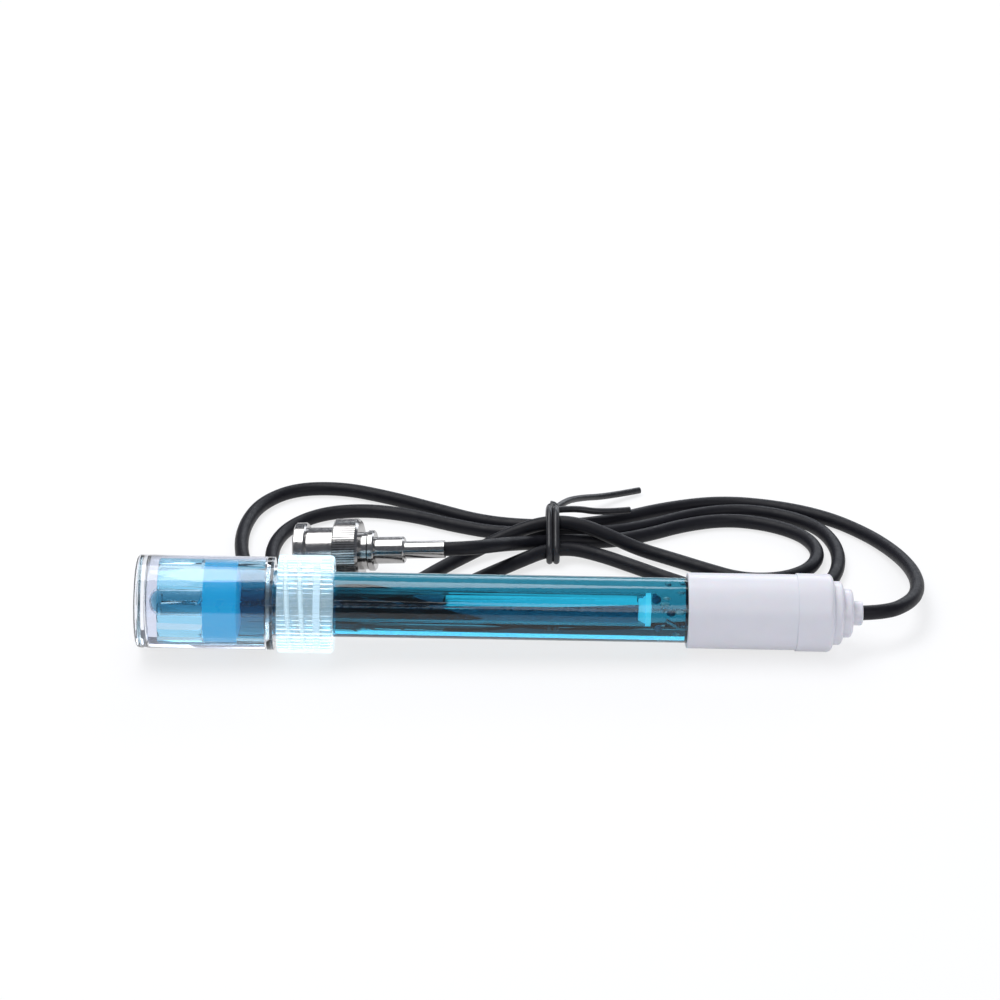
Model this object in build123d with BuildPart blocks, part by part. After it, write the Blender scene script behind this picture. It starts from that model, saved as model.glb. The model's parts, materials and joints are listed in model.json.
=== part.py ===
from build123d import *
import math
import os

os.makedirs("parts", exist_ok=True)

# A combination pH electrode, lying at rest with its soaking bottle screwed on over the tip
# and its coaxial cable tied in a flat hank beside it. Lengths are in millimetres.
# A station is a distance along an axis. On the electrode it counts from the prong tips towards
# the cable, and on the plug from the open front towards the cable.

# Guard tube and its prongs
tube_od = 14.0
tube_wall = 1.2
shaft_length = 113.1
tube_in_head = 9.0
prong_count = 3
prong_length = 9.1
slot_width = 4.8
slot_corner = 1.0
prong_tip_round = 0.5
first_slot_angle = 12.0

# Seal at the tip, with the porous plug
seal_recess = 0.4
seal_length = 7.1
seal_dome = 0.9
junction_od = 1.0
junction_offset = 3.9
junction_angle = 205.0

# Glass stem, its filling and its stopper
stem_od = 4.7
stem_wall = 0.35
bulb_reach = 1.4
stem_to_head = 8.9
stopper_in_stem = 1.6
stopper_collar = 1.1
stopper_taper = 0.5
bubble_start = 60.4
bubble_height = 0.95
bubble_end_radius = 0.8

# Reference gel, potting and wires
gel_into_head = 1.0
potting_length = 10.0
silver_wire_od = 0.5
silver_wire_start = 2.2
silver_wire_spare = 1.5
silver_bead_od = 1.0
silver_bead_to_head = 5.2
reference_wire_od = 0.6
reference_wire_reach = 4.4
reference_wire_low = 2.6
reference_wire_high = 1.6
core_lead_od = 1.0
shield_lead_od = 0.6
shield_lead_at_cable = 1.1

# White head
head_over_tube = 1.15
head_wall = 1.6
sleeve_length = 23.5
cap_over_head = 0.25
cap_wall = 1.4
cap_length = 7.8
cap_spigot = 4.0
cap_shoulder_radius = 1.2
step_insets = (1.55, 3.15)
step_lengths = (2.1, 2.2)
step_radius = 0.8
nose_od = 5.2
nose_length = 2.3
nose_radius = 0.5
edge_break = 0.3

# Soaking bottle and its solution
bottle_wall = 1.25
bottle_base = 2.2
bottle_length = 29.5
tip_to_bottle_floor = 2.7
bottle_edge = 0.8
shoulder_slope = 1.5
shoulder_step = 1.7
neck_clearance = 0.5
neck_wall = 0.8
neck_length = 8.4
solution_gap = 0.3
solution_below_neck = 0.4

# Screw cap and its sealing ring
thread_room = 0.9
screw_cap_length = 12.0
screw_cap_end = 2.8
screw_cap_wall = 0.8
screw_cap_ribs = 60
rib_height = 0.5
rib_width = 0.55
screw_cap_edge = 0.9
cap_hole_gap = 0.35
ring_thickness = 1.4
ring_to_tube = 0.05
ring_to_cap = 0.1
ring_seat_gap = 0.1

# Cable
cable_od = 3.2
cable_in_nose = 5.0
cable_in_ferrule = 5.5
cable_past_exit = 4.7
sliding_fit = 0.05

# Plug: coupling nut
nut_rim_od = 13.1
nut_rim_length = 2.7
nut_barrel_od = 10.8
nut_barrel_length = 6.3
nut_ring_od = 14.5
nut_ring_length = 5.7
nut_edge = 0.3
nut_bore = 9.8
nut_chamber_od = 12.4
nut_web = 1.3
knurl_count = 80
knurl_depth = 0.28
bayonet_slot_width = 2.3
bayonet_entry_od = 11.4
bayonet_slot_run = 3.6
bayonet_slot_turn = 42.0
bayonet_hole = 2.6

# Plug: body, contacts and small parts
neck_body_od = 8.4
web_fit = 0.05
flange_od = 9.1
flange_length = 1.6
flange_gap = 1.6
rear_barrel_od = 6.0
rear_barrel_length = 6.6
body_front = 9.4
body_bore = 4.9
body_spigot = 1.0
contact_od = 8.1
contact_wall = 0.45
contact_front = 2.0
contact_slot_count = 4
contact_slot_width = 0.5
contact_slot_length = 5.0
insulator_front = 4.6
insulator_rear = 14.0
pin_od = 1.37
pin_front = 2.4
pin_shank_od = 2.1
gasket_thickness = 0.9
gasket_od = 9.4
groove_front = 10.6
groove_width = 0.8
groove_depth = 0.5
retaining_ring_od = 10.4
retaining_ring_gap_angle = 50.0
spring_wire = 0.25
washer_od = 11.8
washer_thickness = 0.5
washer_gap = 0.1
ferrule_od = 3.9
ferrule_length = 9.0

# How the plug lies
plug_yaw = 6.5
plug_ring_x = -33.7
plug_ring_y = 31.2

# Twist tie
tie_thickness = 0.6
tie_width = 2.2
tie_slack = 0.4
tie_tail_od = 1.3
tie_knot = (12.0, 52.6, 6.8)
tie_long_tail = [(14.6, 57.8, 6.6), (18.6, 64.0, 4.6), (25.0, 70.6, 1.6), (33.0, 75.6, 1.0)]
tie_short_tail = [(17.0, 54.6, 6.3), (23.4, 55.0, 5.2), (30.0, 57.6, 4.6)]

UP = Vector(0, 0, 1)


def resting_tilt(first_station, first_radius, second_station, second_radius, first_edge, second_edge):
    """Angle of an axis, in degrees, that lies on two rounded rims, rising towards the second."""
    along = second_station - first_station
    rise = (second_radius - second_edge) - (first_radius - first_edge)
    turn = math.atan2(rise, along)
    return math.degrees(turn + math.asin((second_edge - first_edge) / math.hypot(along, rise)))


def resting_height(tilt, station, radius, edge):
    """Height of the axis at station 0 when the rim at this station touches the ground."""
    angle = math.radians(tilt)
    return (radius - edge) * math.cos(angle) + edge - station * math.sin(angle)


def side_plane(origin, direction):
    """Plane through an axis: its x runs along the axis and its y points up."""
    return Plane(origin=origin, x_dir=direction, z_dir=direction.cross(UP))


def cross_plane(origin, direction, station):
    """Plane across an axis: its x points to the back and its y points up."""
    return Plane(origin=origin + direction * station, x_dir=UP.cross(direction), z_dir=direction)


# Diameters that follow the guard tube's
head_od = tube_od + 2 * head_over_tube
cap_od = head_od + 2 * cap_over_head
neck_bore = tube_od + 2 * neck_clearance
neck_od = neck_bore + 2 * neck_wall
bottle_od = neck_od + 2 * shoulder_step
bottle_bore = bottle_od - 2 * bottle_wall
screw_cap_bore = neck_od + 2 * thread_room
screw_cap_od = screw_cap_bore + 2 * (rib_height + screw_cap_wall)

# Stations of the electrode
tube_end = shaft_length + tube_in_head
tube_bore = tube_od - 2 * tube_wall
seal_front = prong_length + seal_recess
seal_rear = seal_front + seal_length
stem_end = shaft_length - stem_to_head
stem_bore = stem_od - 2 * stem_wall
stopper_front = stem_end - stopper_in_stem
stopper_end = stem_end + stopper_collar
gel_end = shaft_length + gel_into_head
potting_end = gel_end + potting_length
leads_start = potting_end + silver_wire_spare
sleeve_end = shaft_length + sleeve_length
cap_end = sleeve_end + cap_length
nose_start = cap_end + sum(step_lengths)
nose_end = nose_start + nose_length
cable_start = nose_end - cable_in_nose
bottle_front = -tip_to_bottle_floor - bottle_base
bottle_shoulder = bottle_front + bottle_length
neck_end = bottle_shoulder + neck_length
ring_front = neck_end + ring_seat_gap
ring_rear = ring_front + ring_thickness
screw_cap_inner = ring_rear + ring_seat_gap
screw_cap_rear = screw_cap_inner + screw_cap_end
screw_cap_front = screw_cap_rear - screw_cap_length

# The electrode rests on the screw cap's rear rim and on the head cap's shoulder
screw_rim = screw_cap_rear - screw_cap_edge
head_rim = cap_end - cap_shoulder_radius
electrode_tilt = resting_tilt(
    screw_rim, screw_cap_od / 2, head_rim, cap_od / 2, screw_cap_edge, cap_shoulder_radius)
electrode_dir = Vector(
    math.cos(math.radians(electrode_tilt)), 0, math.sin(math.radians(electrode_tilt)))
bottle_face = bottle_od / 2 - bottle_edge
nose_face = nose_od / 2 - nose_radius
middle = (bottle_front + nose_end) / 2 * electrode_dir.X - (nose_face - bottle_face) / 2 * electrode_dir.Z
electrode_origin = Vector(
    -middle, 0, resting_height(electrode_tilt, screw_rim, screw_cap_od / 2, screw_cap_edge))
electrode_axis = Axis(electrode_origin, electrode_dir)
electrode_side = side_plane(electrode_origin, electrode_dir)


def electrode_cross(station):
    return cross_plane(electrode_origin, electrode_dir, station)


# Stations of the plug
barrel_start = nut_rim_length
ring_start = barrel_start + nut_barrel_length
nut_end = ring_start + nut_ring_length
web_front = nut_end - nut_web
flange_start = nut_end + flange_gap
flange_end = flange_start + flange_length
barrel_end = flange_end + rear_barrel_length
ferrule_end = barrel_end + ferrule_length
cable_plug_end = ferrule_end - cable_in_ferrule

# The plug rests on the rim and on the knurled ring of its coupling nut
plug_tilt = resting_tilt(
    nut_edge, nut_rim_od / 2, ring_start + nut_edge, nut_ring_od / 2, nut_edge, nut_edge)
plug_dir = Vector(
    math.cos(math.radians(plug_tilt)) * math.cos(math.radians(plug_yaw)),
    -math.cos(math.radians(plug_tilt)) * math.sin(math.radians(plug_yaw)),
    math.sin(math.radians(plug_tilt)))
ring_middle = ring_start + nut_ring_length / 2
plug_origin = Vector(
    plug_ring_x - ring_middle * plug_dir.X,
    plug_ring_y - ring_middle * plug_dir.Y,
    resting_height(plug_tilt, nut_edge, nut_rim_od / 2, nut_edge))
plug_axis = Axis(plug_origin, plug_dir)
plug_side = side_plane(plug_origin, plug_dir)


def plug_cross(station):
    return cross_plane(plug_origin, plug_dir, station)


# Guard tube: a clear tube whose tip is slotted into prongs
with BuildPart() as guard_tube:
    with BuildSketch(electrode_side):
        with BuildLine():
            Polyline(
                (prong_tip_round, tube_bore / 2), (tube_end, tube_bore / 2),
                (tube_end, tube_od / 2), (prong_tip_round, tube_od / 2))
            RadiusArc((prong_tip_round, tube_od / 2), (0, tube_od / 2 - prong_tip_round), -prong_tip_round)
            Line((0, tube_od / 2 - prong_tip_round), (0, tube_bore / 2 + prong_tip_round))
            RadiusArc((0, tube_bore / 2 + prong_tip_round), (prong_tip_round, tube_bore / 2), -prong_tip_round)
        make_face()
    revolve(axis=electrode_axis)
    for index in range(prong_count):
        slot_angle = math.radians(first_slot_angle + index * 360 / prong_count)
        outward = electrode_cross(0).x_dir * math.cos(slot_angle) + electrode_cross(0).y_dir * math.sin(slot_angle)
        with BuildSketch(Plane(origin=electrode_origin, x_dir=electrode_dir, z_dir=outward)):
            with BuildLine():
                Polyline(
                    (-1, -slot_width / 2 - slot_corner - 1), (0, -slot_width / 2 - slot_corner - 1),
                    (0, -slot_width / 2 - slot_corner))
                RadiusArc((0, -slot_width / 2 - slot_corner), (slot_corner, -slot_width / 2), slot_corner)
                Line((slot_corner, -slot_width / 2), (prong_length - slot_corner, -slot_width / 2))
                RadiusArc(
                    (prong_length - slot_corner, -slot_width / 2),
                    (prong_length, -slot_width / 2 + slot_corner), -slot_corner)
                Line((prong_length, -slot_width / 2 + slot_corner), (prong_length, 0))
                Line((prong_length, 0), (-1, 0))
                Line((-1, 0), (-1, -slot_width / 2 - slot_corner - 1))
            make_face()
            mirror(about=Plane(origin=electrode_origin, x_dir=electrode_dir, z_dir=electrode_dir.cross(outward)))
        extrude(amount=tube_od, mode=Mode.SUBTRACT)
guard_tube.part.label = "guard_tube"
export_step(guard_tube.part, "parts/guard_tube.step")


def stem_profile(radius, end):
    """Half outline of a rod with a round nose, from its nose to the end station."""
    nose = -bulb_reach + stem_od / 2
    Line((nose - radius, 0), (end, 0))
    Line((end, 0), (end, radius))
    Line((end, radius), (nose, radius))
    RadiusArc((nose, radius), (nose - radius, 0), -radius)


# Glass stem: one tube, blown shut to a round sensing bulb
with BuildPart() as glass_stem:
    with BuildSketch(electrode_side):
        with BuildLine():
            stem_profile(stem_od / 2, stem_end)
        make_face()
        with BuildLine():
            stem_profile(stem_bore / 2, stem_end)
        make_face(mode=Mode.SUBTRACT)
    revolve(axis=electrode_axis)
glass_stem.part.label = "glass_stem"
export_step(glass_stem.part, "parts/glass_stem.step")

# Stopper: it plugs the stem, and its collar widens to the stem's outside
with BuildPart() as stem_stopper:
    with BuildSketch(electrode_side):
        with BuildLine():
            Polyline(
                (stopper_front, silver_wire_od / 2), (stopper_end, silver_wire_od / 2),
                (stopper_end, stem_od / 2), (stem_end, stem_od / 2), (stem_end, stem_bore / 2),
                (stopper_front, stem_bore / 2 - stopper_taper), close=True)
        make_face()
    revolve(axis=electrode_axis)
stem_stopper.part.label = "stem_stopper"
export_step(stem_stopper.part, "parts/stem_stopper.step")

# Silver wire: it runs from the bulb through the stopper to the lead, with one bead outside the stem
with BuildPart() as silver_wire:
    with BuildSketch(electrode_cross(silver_wire_start)):
        Circle(silver_wire_od / 2)
    extrude(amount=leads_start - silver_wire_start)
    with Locations(electrode_origin + electrode_dir * (shaft_length - silver_bead_to_head)):
        Sphere(silver_bead_od / 2)
silver_wire.part.label = "silver_wire"
export_step(silver_wire.part, "parts/silver_wire.step")

# Inner buffer: it fills the stem round the wire, under a long air bubble with a level surface
with BuildPart() as inner_buffer:
    with BuildSketch(electrode_side):
        with BuildLine():
            stem_profile(stem_bore / 2, stopper_front)
        make_face()
    revolve(axis=electrode_axis)
    bubble_x = electrode_origin.X + bubble_start * electrode_dir.X
    bubble_middle = electrode_origin + electrode_dir * ((bubble_start + stopper_front) / 2)
    bubble_z = bubble_middle.Z + stem_bore / 2 - bubble_height
    with BuildSketch(Plane(origin=(0, 0, 0), x_dir=(1, 0, 0), z_dir=(0, -1, 0))):
        with Locations((bubble_x, bubble_z)):
            RectangleRounded(
                2 * (stopper_front - bubble_start), 2 * stem_od, bubble_end_radius, align=(Align.MIN, Align.MIN))
    extrude(amount=stem_od, both=True, mode=Mode.SUBTRACT)
    add(silver_wire.part, mode=Mode.SUBTRACT)
inner_buffer.part.label = "inner_buffer"
export_step(inner_buffer.part, "parts/inner_buffer.step")

# Ceramic junction: a porous rod through the seal
junction_turn = math.radians(junction_angle)
junction_place = (junction_offset * math.cos(junction_turn), junction_offset * math.sin(junction_turn))
with BuildPart() as ceramic_junction:
    with BuildSketch(electrode_cross(seal_front)):
        with Locations(junction_place):
            Circle(junction_od / 2)
    extrude(amount=seal_length)
ceramic_junction.part.label = "ceramic_junction"
export_step(ceramic_junction.part, "parts/ceramic_junction.step")

# Tip seal: a plug in the guard tube round the stem, with a domed rear face
with BuildPart() as tip_seal:
    with BuildSketch(electrode_side):
        with BuildLine():
            Polyline(
                (seal_rear + seal_dome, stem_od / 2), (seal_front, stem_od / 2),
                (seal_front, tube_bore / 2), (seal_rear, tube_bore / 2))
            ThreePointArc(
                (seal_rear, tube_bore / 2),
                (seal_rear + seal_dome * 0.7, (tube_bore + stem_od) / 4 + seal_dome * 0.3),
                (seal_rear + seal_dome, stem_od / 2))
        make_face()
    revolve(axis=electrode_axis)
    add(ceramic_junction.part, mode=Mode.SUBTRACT)
tip_seal.part.label = "tip_seal"
export_step(tip_seal.part, "parts/tip_seal.step")

# Reference wire: a short bent wire in the gel, in front of the head
with BuildPart() as reference_wire:
    with BuildLine(electrode_side) as reference_path:
        Polyline(
            (shaft_length - reference_wire_reach, -reference_wire_high),
            (shaft_length - reference_wire_reach / 3, -reference_wire_low),
            (leads_start, -reference_wire_low))
    with BuildSketch(Plane(reference_path.line @ 0, z_dir=reference_path.line % 0)):
        Circle(reference_wire_od / 2)
    sweep(path=reference_path.line, transition=Transition.ROUND)
reference_wire.part.label = "reference_wire"
export_step(reference_wire.part, "parts/reference_wire.step")

# Reference gel: it fills the guard tube round the stem, from the seal into the head
with BuildPart() as reference_gel:
    with BuildSketch(electrode_cross(seal_front + seal_length / 2)):
        Circle(tube_bore / 2)
    extrude(amount=gel_end - seal_front - seal_length / 2)
    with BuildSketch(electrode_side):
        with BuildLine():
            stem_profile(stem_od / 2, stopper_end)
        make_face()
    revolve(axis=electrode_axis, mode=Mode.SUBTRACT)
    add(tip_seal.part, mode=Mode.SUBTRACT)
    add(ceramic_junction.part, mode=Mode.SUBTRACT)
    add(silver_wire.part, mode=Mode.SUBTRACT)
    add(reference_wire.part, mode=Mode.SUBTRACT)
reference_gel.part.label = "reference_gel"
export_step(reference_gel.part, "parts/reference_gel.step")

# Potting: resin that closes the tube behind the gel, stepped out behind the tube's end
with BuildPart() as potting_plug:
    with BuildSketch(electrode_cross(gel_end)):
        Circle(tube_bore / 2)
    extrude(amount=potting_length)
    with BuildSketch(electrode_cross(tube_end)):
        Circle(head_od / 2 - head_wall)
    extrude(amount=potting_end - tube_end)
    add(silver_wire.part, mode=Mode.SUBTRACT)
    add(reference_wire.part, mode=Mode.SUBTRACT)
potting_plug.part.label = "potting_plug"
export_step(potting_plug.part, "parts/potting_plug.step")

# Leads: the cable's core meets the silver wire, and its shield meets the reference wire
with BuildPart() as core_lead:
    with BuildSketch(electrode_cross(leads_start)):
        Circle(core_lead_od / 2)
    extrude(amount=cable_start - leads_start)
core_lead.part.label = "core_lead"
export_step(core_lead.part, "parts/core_lead.step")

with BuildPart() as shield_lead:
    with BuildLine(electrode_side) as shield_path:
        lead_bend = (cable_start - leads_start) / 4
        FilletPolyline(
            (leads_start, -reference_wire_low), (leads_start + lead_bend, -reference_wire_low),
            (cable_start - lead_bend, -shield_lead_at_cable), (cable_start, -shield_lead_at_cable),
            radius=4 * shield_lead_od)
    with BuildSketch(Plane(shield_path.line @ 0, z_dir=shield_path.line % 0)):
        Circle(shield_lead_od / 2)
    sweep(path=shield_path.line)
shield_lead.part.label = "shield_lead"
export_step(shield_lead.part, "parts/shield_lead.step")

# Head sleeve: a white tube over the guard tube's end
with BuildPart() as head_sleeve:
    with BuildSketch(electrode_cross(shaft_length)):
        Circle(head_od / 2)
    extrude(amount=sleeve_length)
    fillet(head_sleeve.edges().filter_by(GeomType.CIRCLE).sort_by(electrode_axis)[0], edge_break)
    with BuildSketch(electrode_cross(shaft_length)):
        Circle(tube_od / 2 + sliding_fit)
    extrude(amount=tube_in_head, mode=Mode.SUBTRACT)
    with BuildSketch(electrode_cross(tube_end)):
        Circle(head_od / 2 - head_wall)
    extrude(amount=sleeve_end - tube_end, mode=Mode.SUBTRACT)
head_sleeve.part.label = "head_sleeve"
export_step(head_sleeve.part, "parts/head_sleeve.step")

# Head cap: a white stepped end with the nose that the cable leaves by
spigot_od = head_od - 2 * head_wall - 2 * sliding_fit
cable_hole = cable_od + 2 * sliding_fit
with BuildPart() as head_cap:
    with BuildSketch(electrode_cross(sleeve_end)):
        Circle(cap_od / 2)
    extrude(amount=cap_length)
    rims = head_cap.edges().filter_by(GeomType.CIRCLE).sort_by(electrode_axis)
    fillet(rims[-1], cap_shoulder_radius)
    step_start = cap_end
    for step_inset, step_length in zip(step_insets, step_lengths):
        with BuildSketch(electrode_cross(step_start)):
            Circle(cap_od / 2 - step_inset)
        extrude(amount=step_length)
        rims = head_cap.edges().filter_by(GeomType.CIRCLE).sort_by(electrode_axis)
        fillet(rims[-1], step_radius)
        step_start += step_length
    with BuildSketch(electrode_cross(step_start)):
        Circle(nose_od / 2)
    extrude(amount=nose_length)
    rims = head_cap.edges().filter_by(GeomType.CIRCLE).sort_by(electrode_axis)
    fillet(rims[-1], nose_radius)
    with BuildSketch(electrode_cross(sleeve_end - cap_spigot)):
        Circle(spigot_od / 2)
    extrude(amount=cap_spigot)
    with BuildSketch(electrode_cross(sleeve_end - cap_spigot)):
        Circle(spigot_od / 2 - cap_wall)
    extrude(amount=cap_spigot + cap_length - cap_wall, mode=Mode.SUBTRACT)
    with BuildSketch(electrode_cross(sleeve_end)):
        Circle(cable_hole / 2)
    extrude(amount=nose_end - sleeve_end, mode=Mode.SUBTRACT)
head_cap.part.label = "head_cap"
export_step(head_cap.part, "parts/head_cap.step")

# Soaking bottle: a thick base, a straight wall, a shoulder and a plain neck
with BuildPart() as storage_bottle:
    with BuildSketch(electrode_side):
        with BuildLine():
            Polyline(
                (bottle_front, 0), (bottle_front, bottle_face))
            RadiusArc((bottle_front, bottle_face), (bottle_front + bottle_edge, bottle_od / 2), bottle_edge)
            Polyline(
                (bottle_front + bottle_edge, bottle_od / 2), (bottle_shoulder, bottle_od / 2),
                (bottle_shoulder, neck_od / 2), (neck_end, neck_od / 2), (neck_end, neck_bore / 2),
                (bottle_shoulder, neck_bore / 2), (bottle_shoulder - shoulder_slope, bottle_bore / 2),
                (bottle_edge - tip_to_bottle_floor, bottle_bore / 2))
            RadiusArc(
                (bottle_edge - tip_to_bottle_floor, bottle_bore / 2),
                (-tip_to_bottle_floor, bottle_bore / 2 - bottle_edge), -bottle_edge)
            Polyline(
                (-tip_to_bottle_floor, bottle_bore / 2 - bottle_edge), (-tip_to_bottle_floor, 0),
                (bottle_front, 0))
        make_face()
    revolve(axis=electrode_axis)
storage_bottle.part.label = "storage_bottle"
export_step(storage_bottle.part, "parts/storage_bottle.step")

# Storage solution: it fills the bottle round the tip, with room for the tip to slide out
solution_end = bottle_shoulder - shoulder_slope - solution_below_neck
with BuildPart() as storage_solution:
    with BuildSketch(electrode_side):
        with BuildLine():
            Polyline(
                (-tip_to_bottle_floor, 0), (-tip_to_bottle_floor, bottle_bore / 2 - bottle_edge))
            RadiusArc(
                (-tip_to_bottle_floor, bottle_bore / 2 - bottle_edge),
                (bottle_edge - tip_to_bottle_floor, bottle_bore / 2), bottle_edge)
            Polyline(
                (bottle_edge - tip_to_bottle_floor, bottle_bore / 2), (solution_end, bottle_bore / 2),
                (solution_end, tube_od / 2 + solution_gap), (-solution_gap, tube_od / 2 + solution_gap),
                (-solution_gap, stem_od / 2 + solution_gap),
                (-bulb_reach - solution_gap, stem_od / 2 + solution_gap),
                (-bulb_reach - solution_gap, 0), (-tip_to_bottle_floor, 0))
        make_face()
    revolve(axis=electrode_axis)
storage_solution.part.label = "storage_solution"
export_step(storage_solution.part, "parts/storage_solution.step")

# Sealing ring: it lies between the bottle's mouth and the screw cap, round the guard tube
with BuildPart() as cap_seal:
    with BuildSketch(electrode_cross(ring_front)):
        Circle(screw_cap_bore / 2 - ring_to_cap)
        Circle(tube_od / 2 + ring_to_tube, mode=Mode.SUBTRACT)
    extrude(amount=ring_thickness)
cap_seal.part.label = "cap_seal"
export_step(cap_seal.part, "parts/cap_seal.step")

# Screw cap: a ribbed skirt and an end wall with a hole for the guard tube
with BuildPart() as screw_cap:
    with BuildSketch(electrode_cross(screw_cap_front)):
        Circle(screw_cap_od / 2 - rib_height)
        with PolarLocations(screw_cap_od / 2 - rib_height, screw_cap_ribs):
            Rectangle(2 * rib_height, rib_width)
    extrude(amount=screw_cap_length)
    with BuildSketch(electrode_side):
        with BuildLine():
            flat = screw_cap_od / 2 - screw_cap_edge
            Polyline(
                (screw_cap_rear, 0), (screw_cap_front, 0), (screw_cap_front, screw_cap_od / 2 - edge_break),
                (screw_cap_front + edge_break, screw_cap_od / 2), (screw_rim, screw_cap_od / 2))
            RadiusArc((screw_rim, screw_cap_od / 2), (screw_cap_rear, flat), screw_cap_edge)
            Line((screw_cap_rear, flat), (screw_cap_rear, 0))
        make_face()
    revolve(axis=electrode_axis, mode=Mode.INTERSECT)
    with BuildSketch(electrode_cross(screw_cap_front)):
        Circle(screw_cap_bore / 2)
    extrude(amount=screw_cap_length - screw_cap_end, mode=Mode.SUBTRACT)
    with BuildSketch(electrode_cross(screw_cap_front)):
        Circle(tube_od / 2 + cap_hole_gap)
    extrude(amount=screw_cap_length, mode=Mode.SUBTRACT)
screw_cap.part.label = "screw_cap"
export_step(screw_cap.part, "parts/screw_cap.step")

# Coupling nut: a rim with two entries, a slotted bayonet barrel and a knurled ring
tooth_angle = math.radians(360 / knurl_count)
crest = nut_ring_od / 2
root = crest - knurl_depth
crest_half = 0.18 * tooth_angle
with BuildPart() as coupling_nut:
    with BuildSketch(plug_side):
        with BuildLine():
            Polyline(
                (0, nut_bore / 2), (0, nut_rim_od / 2 - nut_edge), (nut_edge, nut_rim_od / 2),
                (nut_rim_length - nut_edge, nut_rim_od / 2), (nut_rim_length, nut_rim_od / 2 - nut_edge),
                (nut_rim_length, nut_barrel_od / 2), (ring_start, nut_barrel_od / 2),
                (ring_start, crest - nut_edge), (ring_start + nut_edge, crest),
                (nut_end - 2 * nut_edge, crest), (nut_end, crest - 2 * nut_edge),
                (nut_end, neck_body_od / 2 + web_fit), (web_front, neck_body_od / 2 + web_fit),
                (web_front, nut_chamber_od / 2), (groove_front - 2 * washer_gap, nut_chamber_od / 2),
                (groove_front - 2 * washer_gap, nut_bore / 2), close=True)
        make_face()
    revolve(axis=plug_axis)
    with BuildSketch(plug_cross(ring_start)):
        for index in range(knurl_count):
            valley = (index + 0.5) * tooth_angle - math.pi / 2
            with BuildLine():
                Polyline(
                    (root * math.cos(valley), root * math.sin(valley)),
                    ((crest + knurl_depth) * math.cos(valley - 0.5 * tooth_angle + crest_half),
                     (crest + knurl_depth) * math.sin(valley - 0.5 * tooth_angle + crest_half)),
                    ((crest + knurl_depth) * math.cos(valley + 0.5 * tooth_angle - crest_half),
                     (crest + knurl_depth) * math.sin(valley + 0.5 * tooth_angle - crest_half)),
                    close=True)
            make_face()
    extrude(amount=nut_ring_length, mode=Mode.SUBTRACT)
    with BuildSketch(plug_cross(0)):
        Rectangle(bayonet_entry_od, bayonet_slot_width)
    extrude(amount=nut_rim_length, mode=Mode.SUBTRACT)
    for entry in (0, 180):
        middle_turn = math.radians(entry + bayonet_slot_turn / 2)
        outward = plug_cross(0).x_dir * math.cos(middle_turn) + plug_cross(0).y_dir * math.sin(middle_turn)
        sideways = nut_barrel_od / 2 * math.sin(math.radians(bayonet_slot_turn / 2))
        slot_front = barrel_start + bayonet_slot_width / 2 - nut_edge
        with BuildSketch(Plane(origin=plug_origin, x_dir=plug_dir, z_dir=outward)):
            with Locations((slot_front + bayonet_slot_run / 2, 0)):
                SlotCenterToCenter(
                    math.hypot(2 * sideways, bayonet_slot_run), bayonet_slot_width,
                    rotation=math.degrees(math.atan2(2 * sideways, bayonet_slot_run)))
            with Locations((slot_front + bayonet_slot_run, sideways)):
                Circle(bayonet_hole / 2)
        extrude(amount=nut_rim_od, mode=Mode.SUBTRACT)
coupling_nut.part.label = "coupling_nut"
export_step(coupling_nut.part, "parts/coupling_nut.step")

# Plug body: a grooved neck that the nut turns on, a flange and a rear barrel
with BuildPart() as plug_body:
    with BuildSketch(plug_side):
        with BuildLine():
            neck_radius = neck_body_od / 2
            Polyline(
                (body_front - body_spigot, body_bore / 2),
                (body_front - body_spigot, contact_od / 2 - contact_wall - sliding_fit),
                (body_front, contact_od / 2 - contact_wall - sliding_fit), (body_front, neck_radius),
                (groove_front, neck_radius), (groove_front, neck_radius - groove_depth),
                (groove_front + groove_width, neck_radius - groove_depth),
                (groove_front + groove_width, neck_radius), (flange_start, neck_radius),
                (flange_start, flange_od / 2 - nut_edge), (flange_start + nut_edge, flange_od / 2),
                (flange_end - nut_edge, flange_od / 2), (flange_end, flange_od / 2 - nut_edge),
                (flange_end, rear_barrel_od / 2), (barrel_end - nut_edge, rear_barrel_od / 2),
                (barrel_end, rear_barrel_od / 2 - nut_edge), (barrel_end, pin_shank_od / 2 + nut_edge),
                (insulator_rear, pin_shank_od / 2 + nut_edge), (insulator_rear, body_bore / 2), close=True)
        make_face()
    revolve(axis=plug_axis)
plug_body.part.label = "plug_body"
export_step(plug_body.part, "parts/plug_body.step")

# Contact sleeve: a thin tube with spring slots at its open end
with BuildPart() as plug_contact_sleeve:
    with BuildSketch(plug_cross(contact_front)):
        Circle(contact_od / 2)
        Circle(contact_od / 2 - contact_wall, mode=Mode.SUBTRACT)
    extrude(amount=body_front - contact_front)
    with BuildSketch(plug_cross(contact_front)):
        with PolarLocations(contact_od / 2, contact_slot_count, start_angle=180 / contact_slot_count):
            Rectangle(4 * contact_wall, contact_slot_width)
    extrude(amount=contact_slot_length, mode=Mode.SUBTRACT)
plug_contact_sleeve.part.label = "plug_contact_sleeve"
export_step(plug_contact_sleeve.part, "parts/plug_contact_sleeve.step")

# Insulator: a white rod round the pin
with BuildPart() as plug_insulator:
    with BuildSketch(plug_cross(insulator_front)):
        Circle(body_bore / 2)
        Circle(pin_shank_od / 2, mode=Mode.SUBTRACT)
    extrude(amount=insulator_rear - insulator_front)
plug_insulator.part.label = "plug_insulator"
export_step(plug_insulator.part, "parts/plug_insulator.step")

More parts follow.
